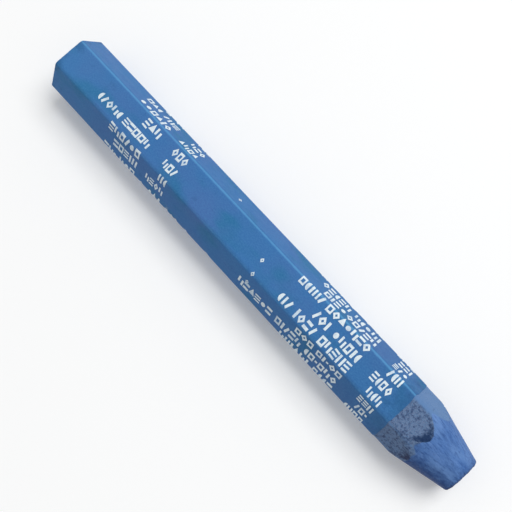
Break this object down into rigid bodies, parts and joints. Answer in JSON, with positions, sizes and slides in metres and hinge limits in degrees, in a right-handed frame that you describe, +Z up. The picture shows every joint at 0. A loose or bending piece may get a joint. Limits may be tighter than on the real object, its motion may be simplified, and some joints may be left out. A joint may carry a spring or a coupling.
{
  "type": "lumber crayon",
  "caption": "Hexagonal clay-and-wax marking stick in a glued paper wrapper, with a bare tapered nose and a blunt round marking face.",
  "frame": {"origin": "under the middle of the crayon's length, level with the flat that it rests on", "axes": "+X along the crayon towards its marking face, +Z up, +Y across it"},
  "size_m": [0.117, 0.0144, 0.0127],
  "materials": {
    "marking_wax": "dull clay-and-wax mix, streaked along the nose",
    "wrapper_paper": "satin printed paper"
  },
  "bodies": {
    "root": {"crayon_stick": "marking_wax", "paper_wrapper": "wrapper_paper"}
  },
  "joints": []
}
